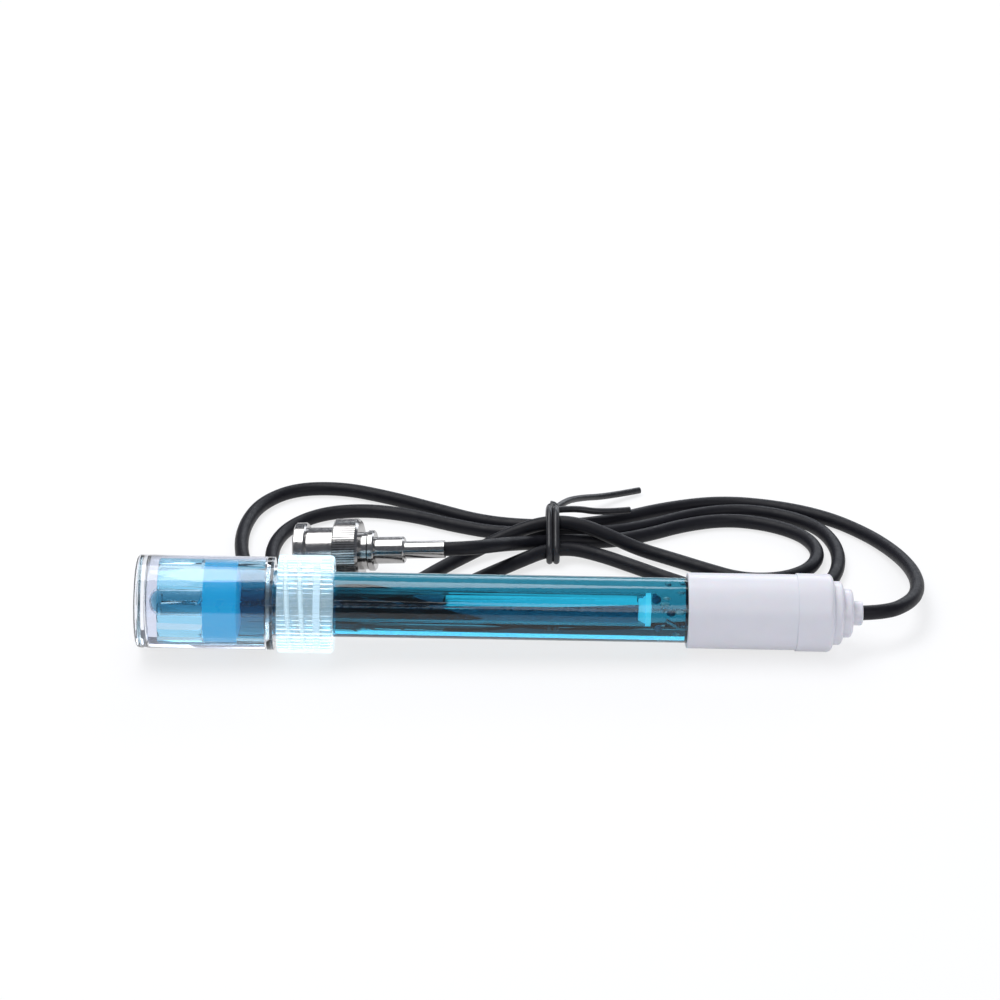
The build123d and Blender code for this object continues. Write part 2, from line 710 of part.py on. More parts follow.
# Centre pin: a round-nosed pin on a thicker shank that the cable's core ends in
with BuildPart() as plug_centre_pin:
    with BuildSketch(plug_side):
        with BuildLine():
            Line((pin_front, 0), (cable_plug_end, 0))
            Polyline(
                (cable_plug_end, 0), (cable_plug_end, pin_shank_od / 2),
                (insulator_front, pin_shank_od / 2), (insulator_front, pin_od / 2),
                (pin_front + pin_od / 2, pin_od / 2))
            RadiusArc((pin_front + pin_od / 2, pin_od / 2), (pin_front, 0), -pin_od / 2)
        make_face()
    revolve(axis=plug_axis)
plug_centre_pin.part.label = "plug_centre_pin"
export_step(plug_centre_pin.part, "parts/plug_centre_pin.step")

# Gasket: a rubber ring at the foot of the contact sleeve
with BuildPart() as plug_gasket:
    with BuildSketch(plug_cross(body_front - gasket_thickness)):
        Circle(gasket_od / 2)
        Circle(contact_od / 2, mode=Mode.SUBTRACT)
    extrude(amount=gasket_thickness)
plug_gasket.part.label = "plug_gasket"
export_step(plug_gasket.part, "parts/plug_gasket.step")

# Retaining ring: an open ring in the neck's groove
with BuildPart() as plug_retaining_ring:
    with BuildSketch(plug_cross(groove_front)):
        Circle(retaining_ring_od / 2)
        Circle(neck_body_od / 2 - groove_depth, mode=Mode.SUBTRACT)
        with BuildLine():
            half = math.radians(retaining_ring_gap_angle / 2)
            reach = retaining_ring_od
            Polyline(
                (0, 0), (reach * math.sin(half), reach * math.cos(half)),
                (-reach * math.sin(half), reach * math.cos(half)), close=True)
        make_face(mode=Mode.SUBTRACT)
    extrude(amount=groove_width)
plug_retaining_ring.part.label = "plug_retaining_ring"
export_step(plug_retaining_ring.part, "parts/plug_retaining_ring.step")

# Thrust washer: it slides with the nut, in front of the nut's web
washer_rear = web_front - washer_gap
washer_front = washer_rear - washer_thickness
with BuildPart() as plug_thrust_washer:
    with BuildSketch(plug_cross(washer_front)):
        Circle(washer_od / 2)
        Circle(neck_body_od / 2 + web_fit, mode=Mode.SUBTRACT)
    extrude(amount=washer_thickness)
plug_thrust_washer.part.label = "plug_thrust_washer"
export_step(plug_thrust_washer.part, "parts/plug_thrust_washer.step")

# Spring washer: a dished ring between the retaining ring and the thrust washer
spring_front = groove_front + groove_width + washer_gap
spring_rear = washer_front - washer_gap
with BuildPart() as plug_spring_washer:
    with BuildSketch(plug_side):
        with BuildLine():
            spring_in = neck_body_od / 2 + web_fit
            spring_out = washer_od / 2
            Polyline(
                (spring_front, spring_in), (spring_front + spring_wire, spring_in),
                (spring_rear, spring_out - spring_wire), (spring_rear, spring_out),
                (spring_rear - spring_wire, spring_out), (spring_front, spring_in + spring_wire), close=True)
        make_face()
    revolve(axis=plug_axis)
plug_spring_washer.part.label = "plug_spring_washer"
export_step(plug_spring_washer.part, "parts/plug_spring_washer.step")

# Crimp ferrule: a thin tube over the cable, behind the rear barrel
with BuildPart() as crimp_ferrule:
    with BuildSketch(plug_cross(barrel_end)):
        Circle(ferrule_od / 2)
        Circle(cable_od / 2 + sliding_fit, mode=Mode.SUBTRACT)
    extrude(amount=ferrule_length)
crimp_ferrule.part.label = "crimp_ferrule"
export_step(crimp_ferrule.part, "parts/crimp_ferrule.step")

# Signal cable: it leaves the nose, goes once round the outer turns and once round the inner turns
# of a flat hank, five times through the tie, and ends in the plug. Each point has its place and
# how high the cable's underside is above the ground.
hank_points = [
    (89.4, 7.2, 5.6), (92.2, 16.8, 4.0), (92.4, 28.0, 2.3), (90.0, 39.6, 0.8), (84.6, 50.6, 0.05),
    (76.0, 59.6, 0.05), (64.6, 65.3, 0.05), (51.5, 67.8, 0.05), (38.3, 64.3, 0.05), (27.2, 58.0, 0.3),
    (18.0, 53.2, 1.2), (6.5, 52.7, 1.2), (-4.5, 57.4, 0.1), (-15.0, 63.8, 0.05), (-26.0, 70.2, 0.05),
    (-37.4, 75.2, 0.05), (-48.6, 74.6, 0.05), (-56.0, 67.0, 0.05), (-59.0, 56.2, 0.05), (-59.3, 44.6, 0.05),
    (-57.0, 32.4, 0.05), (-50.8, 21.6, 0.05), (-41.0, 14.6, 0.05), (-29.4, 12.2, 0.05), (-18.6, 15.8, 0.05),
    (-10.4, 23.2, 0.05), (-3.0, 30.6, 0.05), (4.2, 36.4, 0.5), (10.2, 40.2, 1.3), (16.2, 41.5, 1.3),
    (23.0, 39.2, 0.6), (30.0, 34.8, 0.1), (37.6, 28.8, 0.05), (46.0, 22.8, 0.05), (55.4, 18.2, 0.05),
    (65.6, 19.0, 0.05), (73.4, 25.4, 0.05), (76.8, 35.6, 0.05), (76.6, 46.4, 0.05), (72.8, 55.6, 0.05),
    (64.6, 61.4, 0.05), (54.4, 63.6, 0.05), (44.0, 60.8, 0.05), (34.0, 54.8, 0.1), (23.6, 50.2, 0.7),
    (11.8, 48.9, 1.5), (0.2, 50.6, 0.4), (-10.2, 55.2, 0.05), (-20.6, 60.8, 0.05), (-31.6, 63.6, 0.05),
    (-41.8, 61.6, 0.05), (-49.0, 54.4, 0.05), (-52.0, 44.6, 0.05), (-51.4, 33.8, 0.05), (-47.0, 24.6, 0.05),
    (-37.8, 19.2, 0.05), (-27.4, 19.0, 0.05), (-19.4, 26.0, 0.05), (-12.6, 34.8, 0.05), (-5.0, 42.3, 0.5),
    (2.6, 46.4, 2.7), (10.4, 47.2, 5.1), (17.6, 46.4, 5.2), (24.6, 43.9, 3.4), (31.4, 41.6, 1.0),
    (38.8, 38.6, 0.05), (46.2, 33.4, 0.05), (54.1, 28.3, 0.05), (63.4, 28.5, 0.05), (70.2, 33.6, 0.05),
    (72.7, 41.8, 0.05), (69.9, 50.2, 0.05), (62.5, 56.0, 0.05), (52.8, 58.6, 0.05), (42.6, 55.8, 0.05),
    (33.4, 50.3, 0.05), (24.4, 46.6, 0.3), (15.8, 45.6, 1.2), (9.0, 44.1, 1.4), (3.6, 40.0, 3.2),
    (0.2, 34.0, 6.0)]
route = [Vector(x, y, lift + cable_od / 2) for x, y, lift in hank_points]
route.insert(0, electrode_origin + electrode_dir * (nose_end + cable_past_exit))
route.insert(0, electrode_origin + electrode_dir * cable_start)
route.append(plug_origin + plug_dir * (ferrule_end + cable_past_exit))
route.append(plug_origin + plug_dir * cable_plug_end)
bend_radii = []
for before, corner, after in zip(route, route[1:], route[2:]):
    shorter_run = min((corner - before).length, (after - corner).length)
    turn = math.radians((corner - before).get_angle(after - corner))
    bend_radii.append(0.45 * shorter_run / math.tan(turn / 2))
print("cable bend radii:", ", ".join(f"{radius:.1f}" for radius in bend_radii))
with BuildPart() as signal_cable:
    with BuildLine() as cable_path:
        FilletPolyline(*route, radius=bend_radii)
    with BuildSketch(Plane(route[0], z_dir=electrode_dir)):
        Circle(cable_od / 2)
    sweep(path=cable_path.line)
cable_length = sum(edge.length for edge in cable_path.edges())
print(f"cable length {cable_length:.1f}, volume over section times length "
      f"{signal_cable.part.volume / (math.pi * cable_od ** 2 / 4 * cable_length):.5f}")
signal_cable.part.label = "signal_cable"
export_step(signal_cable.part, "parts/signal_cable.step")

# Twist tie: one coated wire strip, wrapped round the hank, twisted once and left with two tails
tie_station = tie_knot[0]
strands = []
for edge in cable_path.edges():
    near, far = 0.0, 1.0
    if (edge.position_at(near).X - tie_station) * (edge.position_at(far).X - tie_station) < 0:
        while far - near > 1e-6:
            halfway = (near + far) / 2
            if (edge.position_at(near).X - tie_station) * (edge.position_at(halfway).X - tie_station) < 0:
                far = halfway
            else:
                near = halfway
        strands.append((edge.position_at(near).Y, edge.position_at(near).Z))
with BuildPart() as twist_tie:
    for reach, mode in ((tie_slack + tie_thickness, Mode.ADD), (tie_slack, Mode.SUBTRACT)):
        with BuildSketch(Plane(origin=(tie_station - tie_width / 2, 0, 0), x_dir=(0, 1, 0), z_dir=(1, 0, 0))):
            with Locations(*strands):
                Circle(cable_od / 2 + reach)
            make_hull()
        extrude(amount=tie_width, mode=mode)
    with Locations(tie_knot):
        Sphere(1.5 * tie_thickness)
    for tail in (tie_long_tail, tie_short_tail):
        with BuildLine() as tail_path:
            FilletPolyline(tie_knot, *tail, radius=2 * tie_tail_od)
        with BuildSketch(Plane(tail_path.line @ 0, z_dir=tail_path.line % 0)):
            Circle(tie_tail_od / 2)
        sweep(path=tail_path.line)
twist_tie.part.label = "twist_tie"
export_step(twist_tie.part, "parts/twist_tie.step")
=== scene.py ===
import json
import math

import bpy
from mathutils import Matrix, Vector


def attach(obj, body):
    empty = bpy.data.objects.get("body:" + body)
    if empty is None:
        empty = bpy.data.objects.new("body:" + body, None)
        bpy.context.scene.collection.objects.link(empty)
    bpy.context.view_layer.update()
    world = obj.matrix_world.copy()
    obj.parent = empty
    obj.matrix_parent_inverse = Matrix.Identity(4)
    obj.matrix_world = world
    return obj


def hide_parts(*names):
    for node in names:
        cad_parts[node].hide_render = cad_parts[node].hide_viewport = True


bl_info = {
    "name": "pH Electrode",
    "version": (1, 0, 0),
    "blender": (4, 5, 0),
    "location": "3D View > Sidebar > Electrode",
    "description": "Dresses a packed pH electrode with its liquids, cable, thread and finishes",
    "category": "Object",
}

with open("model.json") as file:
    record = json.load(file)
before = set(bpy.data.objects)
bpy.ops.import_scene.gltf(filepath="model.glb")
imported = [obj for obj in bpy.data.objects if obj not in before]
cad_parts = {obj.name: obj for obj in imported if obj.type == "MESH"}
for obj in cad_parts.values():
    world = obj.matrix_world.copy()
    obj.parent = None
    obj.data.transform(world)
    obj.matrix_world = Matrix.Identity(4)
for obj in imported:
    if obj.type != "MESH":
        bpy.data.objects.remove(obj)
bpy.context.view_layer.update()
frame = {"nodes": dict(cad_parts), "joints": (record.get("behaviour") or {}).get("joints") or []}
MM = 0.001

# The camera, as the photo was taken: its place in metres, its tilt below level in degrees and its lens
CAMERA_PLACE = (0, -0.6269, 0.3431)
CAMERA_TILT = 26.14
CAMERA_LENS = 118.8
CAMERA_SENSOR = 36
FLOOR_WHITE_SHARE = 0.74

# The electrode's axis and the plug's axis come from the joints that turn on them. A station is a
# distance along an axis in millimetres, from the prong tips or from the plug's open front.
JOINTS = {joint["name"]: joint for joint in frame["joints"]}
AXIS = Vector(JOINTS["cap_turn"]["axis"]).normalized()
SEAL_STATION = 33.1
TIP = Vector(JOINTS["cap_turn"]["pos_m"]) - AXIS * SEAL_STATION * MM
PLUG_AXIS = Vector(JOINTS["nut_turn"]["axis"]).normalized()
PLUG_FRONT = Vector(JOINTS["nut_turn"]["pos_m"])

# Stations and radii inside the electrode and the bottle, in millimetres
GEL_START = 16.4
GEL_END = 113.9
GEL_RADIUS = 5.85
TUBE_BORE = 6.4
LIQUID_END = 22.7
LIQUID_RADIUS = 8.8
TUBE_OPENING = 7.02
THREAD_START = 26.2
THREAD_RADIUS = 8.25
THREAD_SIZE = 0.75
BUBBLE_MIDDLE = 81.5
LOOSE_BUBBLES = 106.2

# The cable's corners between the electrode's nose and the plug, in millimetres
HANK = [
    (89.4, 7.2, 7.2), (92.2, 16.8, 5.6), (92.4, 28.0, 3.9), (90.0, 39.6, 2.4), (84.6, 50.6, 1.65),
    (76.0, 59.6, 1.65), (64.6, 65.3, 1.65), (51.5, 67.8, 1.65), (38.3, 64.3, 1.65), (27.2, 58.0, 1.9),
    (18.0, 53.2, 2.8), (6.5, 52.7, 2.8), (-4.5, 57.4, 1.7), (-15.0, 63.8, 1.65), (-26.0, 70.2, 1.65),
    (-37.4, 75.2, 1.65), (-48.6, 74.6, 1.65), (-56.0, 67.0, 1.65), (-59.0, 56.2, 1.65), (-59.3, 44.6, 1.65),
    (-57.0, 32.4, 1.65), (-50.8, 21.6, 1.65), (-41.0, 14.6, 1.65), (-29.4, 12.2, 1.65), (-18.6, 15.8, 1.65),
    (-10.4, 23.2, 1.65), (-3.0, 30.6, 1.65), (4.2, 36.4, 2.1), (10.2, 40.2, 2.9), (16.2, 41.5, 2.9),
    (23.0, 39.2, 2.2), (30.0, 34.8, 1.7), (37.6, 28.8, 1.65), (46.0, 22.8, 1.65), (55.4, 18.2, 1.65),
    (65.6, 19.0, 1.65), (73.4, 25.4, 1.65), (76.8, 35.6, 1.65), (76.6, 46.4, 1.65), (72.8, 55.6, 1.65),
    (64.6, 61.4, 1.65), (54.4, 63.6, 1.65), (44.0, 60.8, 1.65), (34.0, 54.8, 1.7), (23.6, 50.2, 2.3),
    (11.8, 48.9, 3.1), (0.2, 50.6, 2.0), (-10.2, 55.2, 1.65), (-20.6, 60.8, 1.65), (-31.6, 63.6, 1.65),
    (-41.8, 61.6, 1.65), (-49.0, 54.4, 1.65), (-52.0, 44.6, 1.65), (-51.4, 33.8, 1.65), (-47.0, 24.6, 1.65),
    (-37.8, 19.2, 1.65), (-27.4, 19.0, 1.65), (-19.4, 26.0, 1.65), (-12.6, 34.8, 1.65), (-5.0, 42.3, 2.1),
    (2.6, 46.4, 4.3), (10.4, 47.2, 6.7), (17.6, 46.4, 6.8), (24.6, 43.9, 5.0), (31.4, 41.6, 2.6),
    (38.8, 38.6, 1.65), (46.2, 33.4, 1.65), (54.1, 28.3, 1.65), (63.4, 28.5, 1.65), (70.2, 33.6, 1.65),
    (72.7, 41.8, 1.65), (69.9, 50.2, 1.65), (62.5, 56.0, 1.65), (52.8, 58.6, 1.65), (42.6, 55.8, 1.65),
    (33.4, 50.3, 1.65), (24.4, 46.6, 1.9), (15.8, 45.6, 2.8), (9.0, 44.1, 3.0), (3.6, 40.0, 4.8),
    (0.2, 34.0, 7.6)]
NOSE_STATIONS = (146.0, 155.7)
PLUG_STATIONS = (38.2, 28.0)

# The tie: where it wraps the strands, its knot and its two tails, in millimetres
TIE_WRAP = [
    (40.6, 0.8), (46.9, 0.8), (53.2, 0.8), (55.8, 1.5), (55.6, 4.5), (51.8, 7.8), (48.4, 9.5),
    (45.4, 9.3), (41.0, 6.0), (37.8, 3.9), (38.0, 1.0)]
TIE_TURNS = (11.25, 12.75)
TIE_KNOT = (12.0, 52.4, 7.4)
TIE_KNOT_RADIUS = 0.75
TIE_TAILS = [
    [(12.0, 52.6, 6.8), (14.6, 57.8, 6.6), (18.6, 64.0, 4.6), (25.0, 70.6, 1.7), (33.0, 75.2, 1.1)],
    [(12.0, 52.2, 7.2), (17.0, 54.6, 6.6), (23.4, 55.0, 5.2), (30.0, 57.6, 4.6)]]


class ElectrodeLooks(bpy.types.PropertyGroup):
    """Sizes and colours of the pieces that dress the solids"""

    gel_colour: bpy.props.FloatVectorProperty(
        name="Gel", description="Colour that the reference gel lets through",
        subtype="COLOR", default=(0.0, 0.62, 0.72), min=0, max=1)
    gel_depth: bpy.props.FloatProperty(
        name="Gel strength", description="How fast the gel darkens with depth, per metre",
        default=390.0, min=0)
    seal_colour: bpy.props.FloatVectorProperty(
        name="Seal", description="Colour of the seal at the tip",
        subtype="COLOR", default=(0.004, 0.42, 0.76), min=0, max=1)
    head_colour: bpy.props.FloatVectorProperty(
        name="Head", description="Colour of the white head",
        subtype="COLOR", default=(0.72, 0.71, 0.745), min=0, max=1)
    cable_colour: bpy.props.FloatVectorProperty(
        name="Cable", description="Colour of the cable's sheath",
        subtype="COLOR", default=(0.0055, 0.0055, 0.0085), min=0, max=1)
    cable_diameter: bpy.props.FloatProperty(
        name="Cable diameter", description="Outside diameter of the cable",
        default=3.2 * MM, unit="LENGTH")
    tie_diameter: bpy.props.FloatProperty(
        name="Tie diameter", description="Outside diameter of the coated tie wire",
        default=1.55 * MM, unit="LENGTH")
    thread_pitch: bpy.props.FloatProperty(
        name="Thread pitch", description="Rise of the neck's thread in one turn",
        default=3.0 * MM, unit="LENGTH")
    thread_turns: bpy.props.FloatProperty(
        name="Thread turns", description="Number of turns of the neck's thread",
        default=2.0, min=1, max=2.4)
    bubble_count: bpy.props.IntProperty(
        name="Gel bubbles", description="Number of small air bubbles in the gel by the head",
        default=16, min=1, max=40)


def looks():
    return bpy.context.scene.electrode_looks


def electrode_point(station):
    """The point on the electrode's axis at a station."""
    return TIP + AXIS * station * MM


def deselect():
    if bpy.context.mode != "OBJECT":
        bpy.ops.object.mode_set(mode="OBJECT")
    bpy.ops.object.select_all(action="DESELECT")


def pick(piece):
    """Selects one piece alone and makes it active."""
    deselect()
    piece.select_set(True)
    bpy.context.view_layer.objects.active = piece


def settle(piece, name, angle=30):
    """Names a finished piece, smooths it and puts its place into its mesh."""
    pick(piece)
    piece.name = piece.data.name = name
    bpy.ops.object.transform_apply(location=True, rotation=True, scale=True)
    bpy.ops.object.shade_smooth_by_angle(angle=math.radians(angle))
    return piece


def turned(name, start, direction, profile, sides=96):
    """A piece turned on an axis, drawn out ring by ring through (station, radius) in millimetres."""
    deselect()
    first, last = profile[0], profile[-1]
    bpy.ops.mesh.primitive_circle_add(
        vertices=sides, radius=max(first[1], 0.01) * MM, location=start + direction * first[0] * MM,
        rotation=direction.to_track_quat("Z", "Y").to_euler())
    piece = bpy.context.object
    bpy.ops.object.mode_set(mode="EDIT")
    bpy.ops.mesh.select_mode(type="EDGE")
    bpy.ops.mesh.select_all(action="SELECT")
    for before, after in zip(profile, profile[1:]):
        bpy.ops.mesh.extrude_region_move(
            TRANSFORM_OT_translate={"value": direction * (after[0] - before[0]) * MM})
        growth = max(after[1], 0.01) / max(before[1], 0.01)
        bpy.ops.transform.resize(value=(growth,) * 3, center_override=start + direction * after[0] * MM)
    if last[1] == 0:
        bpy.ops.mesh.merge(type="CENTER")
    if first[1] == 0:
        bpy.ops.object.mode_set(mode="OBJECT")
        centre = start + direction * first[0] * MM
        for vertex in piece.data.vertices:
            vertex.select = (piece.matrix_world @ vertex.co - centre).length < 0.03 * MM
        bpy.ops.object.mode_set(mode="EDIT")
        bpy.ops.mesh.select_mode(type="VERT")
        bpy.ops.mesh.merge(type="CENTER")
    bpy.ops.mesh.select_all(action="SELECT")
    bpy.ops.mesh.normals_make_consistent(inside=False)
    bpy.ops.object.mode_set(mode="OBJECT")
    return settle(piece, name)


def new_finish(name):
    """A material with its nodes, its links and its shader."""
    material = bpy.data.materials.new(name)
    material.use_nodes = True
    nodes = material.node_tree.nodes
    return material, nodes, material.node_tree.links, nodes["Principled BSDF"]


def speckle(nodes, links, scale, detail=3.0, stretch=(1, 1, 1)):
    """Noise on Object coordinates, its size given per metre, drawn out where stretch is small."""
    place = nodes.new("ShaderNodeTexCoord")
    mapping = nodes.new("ShaderNodeMapping")
    mapping.inputs["Scale"].default_value = stretch
    mapping.inputs["Rotation"].default_value = (0, math.atan2(AXIS.z, AXIS.x), 0)
    noise = nodes.new("ShaderNodeTexNoise")
    noise.inputs["Scale"].default_value = scale
    noise.inputs["Detail"].default_value = detail
    links.new(place.outputs["Object"], mapping.inputs["Vector"])
    links.new(mapping.outputs["Vector"], noise.inputs["Vector"])
    return noise.outputs["Fac"]


def spread(nodes, links, value, low, high, target):
    """Sends a 0 to 1 value to a socket as low to high."""
    remap = nodes.new("ShaderNodeMapRange")
    remap.inputs["From Min"].default_value = 0.3
    remap.inputs["From Max"].default_value = 0.7
    remap.inputs["To Min"].default_value = low
    remap.inputs["To Max"].default_value = high
    links.new(value, remap.inputs["Value"])
    links.new(remap.outputs["Result"], target)


def relief(nodes, links, height, depth, target):
    """A bump of the given depth in metres."""
    bump = nodes.new("ShaderNodeBump")
    bump.inputs["Strength"].default_value = 1.0
    bump.inputs["Distance"].default_value = depth
    links.new(height, bump.inputs["Height"])
    links.new(bump.outputs["Normal"], target)


# Places of the colour sockets on a Mix node: factor, A and B, and the result
MIX_COLOUR_INPUTS = (0, 6, 7)
MIX_COLOUR_OUTPUT = 2


def tinted(nodes, links, value, dark, light, target):
    """Blends two colours by a value."""
    blend = nodes.new("ShaderNodeMix")
    blend.data_type = "RGBA"
    factor, first, second = (blend.inputs[index] for index in MIX_COLOUR_INPUTS)
    first.default_value = (*dark, 1)
    second.default_value = (*light, 1)
    links.new(value, factor)
    links.new(blend.outputs[MIX_COLOUR_OUTPUT], target)


def combined(nodes, links, operation, first, second):
    """A maths node on a socket and another socket or a number."""
    node = nodes.new("ShaderNodeMath")
    node.operation = operation
    links.new(first, node.inputs[0])
    if isinstance(second, float):
        node.inputs[1].default_value = second
    else:
        links.new(second, node.inputs[1])
    return node.outputs["Value"]


def clear_finish(name, ior, roughness=0.0, colour=(1, 1, 1), ripple=0.0, stretch=(1, 1, 1), scale=400,
                 through=1.0, absorb=None, painted_glow=None):
    """A clear plastic, glass or liquid.

    absorb is a colour and its strength per metre. The glow, if given, is a colour and its strength of
    painted light that the plastic gives off itself, in place of the light that a cloudy plastic passes on.
    """
    material, nodes, links, shader = new_finish(name)
    shader.inputs["Transmission Weight"].default_value = through
    shader.inputs["IOR"].default_value = ior
    shader.inputs["Base Color"].default_value = (*colour, 1)
    grain = speckle(nodes, links, scale, stretch=stretch)
    spread(nodes, links, grain, roughness, roughness * 1.6 + 0.004, shader.inputs["Roughness"])
    if ripple:
        relief(nodes, links, grain, ripple, shader.inputs["Normal"])
    # Painted light: the plastic gives off the glow's colour itself.
    if painted_glow:
        shader.inputs["Emission Color"].default_value = (*painted_glow[0], 1)
        shader.inputs["Emission Strength"].default_value = painted_glow[1]
    if absorb:
        volume = nodes.new("ShaderNodeVolumeAbsorption")
        volume.inputs["Color"].default_value = (*absorb[0], 1)
        volume.inputs["Density"].default_value = absorb[1]
        links.new(volume.outputs["Volume"], nodes["Material Output"].inputs["Volume"])
    return material


def solid_finish(name, dark, light, roughness, grain_scale, depth, metallic=0.0, stretch=(1, 1, 1),
                 subsurface=0.0, painted_glow=0.0, ior=1.5):
    """An opaque finish whose colour, gloss and surface vary with one grain.

    The glow is the strength of painted light that the piece gives off itself in its light colour, in
    place of the light that a translucent piece passes on.
    """
    material, nodes, links, shader = new_finish(name)
    shader.inputs["Metallic"].default_value = metallic
    shader.inputs["Subsurface Weight"].default_value = subsurface
    shader.inputs["Subsurface Scale"].default_value = 1.5 * MM
    shader.inputs["IOR"].default_value = ior
    # Painted light: the piece gives off its light colour itself, as strong as the glow.
    shader.inputs["Emission Color"].default_value = (*light, 1)
    shader.inputs["Emission Strength"].default_value = painted_glow
    grain = speckle(nodes, links, grain_scale, detail=5.0, stretch=stretch)
    tinted(nodes, links, grain, dark, light, shader.inputs["Base Color"])
    spread(nodes, links, grain, roughness[0], roughness[1], shader.inputs["Roughness"])
    relief(nodes, links, grain, depth, shader.inputs["Normal"])
    return material


def scaled(colour, amount):
    """A colour made brighter or darker."""
    return tuple(min(1.0, part * amount) for part in colour)


def finish_node(node, material):
    """Gives a solid its finish."""
    mesh = frame["nodes"][node].data
    mesh.materials.clear()
    mesh.materials.append(material)


def finish_piece(piece, material, body, slot, *nodes):
    """Gives a new piece its finish and its body, and hides the solids that it stands for; slot is not used."""
    if not piece.data.materials:
        piece.data.materials.append(material)
    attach(piece, body)
    if nodes:
        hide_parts(*nodes)
    return piece


def lamp(name, place, aim, width, height, power, colour=(1, 1, 1)):
    """A soft rectangular lamp, turned to a point."""
    bpy.ops.object.light_add(type="AREA", location=place)
    light = bpy.context.object
    light.name = name
    light.data.shape = "RECTANGLE"
    light.data.size = width
    light.data.size_y = height
    light.data.energy = power
    light.data.color = colour
    light.rotation_euler = (Vector(aim) - Vector(place)).to_track_quat("-Z", "Y").to_euler()


def wire_curve(name, diameter, bevel_resolution):
    """An empty curve that is as thick as the wire."""
    data = bpy.data.curves.new(name, "CURVE")
    data.dimensions = "3D"
    data.bevel_depth = diameter / 2
    data.bevel_resolution = bevel_resolution
    data.use_fill_caps = True
    return data


def wire_spline(data, points, cyclic=False, resolution=8):
    """Adds a smooth line through the corners, given in metres."""
    spline = data.splines.new("NURBS")
    spline.points.add(len(points) - 1)
    for point, place in zip(spline.points, points):
        point.co = (*place, 1)
    spline.order_u = 3
    spline.resolution_u = resolution
    spline.use_cyclic_u = cyclic
    spline.use_endpoint_u = not cyclic


def in_metres(points):
    return [Vector(point) * MM for point in points]


class ELECTRODE_OT_studio(bpy.types.Operator):
    """White floor, soft lamps and the camera"""

    bl_idname = "electrode.studio"
    bl_label = "Studio"

    def execute(self, context):
        deselect()
        bpy.ops.object.camera_add(location=CAMERA_PLACE, rotation=(math.radians(90 - CAMERA_TILT), 0, 0))
        camera = context.object
        camera.data.lens = CAMERA_LENS
        camera.data.sensor_width = CAMERA_SENSOR
        camera.data.clip_start = 0.01
        context.scene.camera = camera
        bpy.ops.mesh.primitive_plane_add(size=3.0, location=(0, 0, 0))
        floor = context.object
        floor.name = "floor"
        material, nodes, links, shader = new_finish("studio_floor")
        shader.inputs["Base Color"].default_value = (0.88, 0.88, 0.9, 1)
        shader.inputs["Roughness"].default_value = 0.9
        white = nodes.new("ShaderNodeEmission")
        white.inputs["Color"].default_value = (1, 1, 1, 1)
        rays = nodes.new("ShaderNodeLightPath")
        seen = combined(
            nodes, links, "MAXIMUM", rays.outputs["Is Camera Ray"], rays.outputs["Is Transmission Ray"])
        seen = combined(nodes, links, "MAXIMUM", seen, rays.outputs["Is Glossy Ray"])
        share = combined(nodes, links, "MULTIPLY", seen, FLOOR_WHITE_SHARE)
        mix = nodes.new("ShaderNodeMixShader")
        links.new(share, mix.inputs["Fac"])
        links.new(shader.outputs["BSDF"], mix.inputs[1])
        links.new(white.outputs["Emission"], mix.inputs[2])
        links.new(mix.outputs["Shader"], nodes["Material Output"].inputs["Surface"])
        floor.data.materials.append(material)
        world = context.scene.world or bpy.data.worlds.new("studio")
        context.scene.world = world
        world.use_nodes = True
        sky = world.node_tree.nodes["Background"]
        sky.inputs["Color"].default_value = (0.82, 0.87, 1.0, 1)
        paths = world.node_tree.nodes.new("ShaderNodeLightPath")
        dim = world.node_tree.nodes.new("ShaderNodeMapRange")
        dim.inputs["To Min"].default_value = 0.45
        dim.inputs["To Max"].default_value = 0.2
        world.node_tree.links.new(paths.outputs["Is Glossy Ray"], dim.inputs["Value"])
        world.node_tree.links.new(dim.outputs["Result"], sky.inputs["Strength"])
        context.scene.cycles.max_bounces = 40
        context.scene.cycles.transmission_bounces = 40
        context.scene.cycles.glossy_bounces = 8
        lamp("key_lamp", (-0.25, 0.15, 0.85), (0, 0.02, 0), 0.9, 0.5, 6.6)
        lamp("front_lamp", (0.35, -0.8, 0.55), (0, 0, 0.01), 0.5, 0.5, 1.6)
        lamp("back_lamp", (0.3, 0.8, 0.4), (0, 0.02, 0.01), 0.9, 0.3, 2.6, (0.9, 0.94, 1.0))
        context.scene.view_settings.view_transform = "Standard"
        return {"FINISHED"}


class ELECTRODE_OT_cable(bpy.types.Operator):
    """The cable in its flat hank, one smooth tube from the nose to the plug"""

    bl_idname = "electrode.cable"
    bl_label = "Cable"

    def execute(self, context):
        diameter = looks().cable_diameter
        corners = [electrode_point(station) for station in NOSE_STATIONS]
        corners += in_metres(HANK)
        corners += [PLUG_FRONT + PLUG_AXIS * station * MM for station in PLUG_STATIONS]
        data = wire_curve("cable", diameter, 7)
        wire_spline(data, corners, resolution=10)
        cable = bpy.data.objects.new("cable", data)
        context.scene.collection.objects.link(cable)
        colour = looks().cable_colour
        sheath = solid_finish(
            "cable_sheath", scaled(colour, 0.8), scaled(colour, 1.5), (0.4, 0.54), 900, 0.03 * MM, ior=1.32)
        finish_piece(cable, sheath, "electrode", "cable_black", "signal_cable")
        on_cable = [frame["nodes"][name] for name in (
            "crimp_ferrule", "plug_body", "plug_contact_sleeve", "plug_insulator", "plug_centre_pin",
            "plug_gasket", "plug_retaining_ring", "plug_spring_washer", "plug_thrust_washer", "coupling_nut")]
        on_cable.append(bpy.data.objects["twist_tie_wire"])
        return {"FINISHED"}


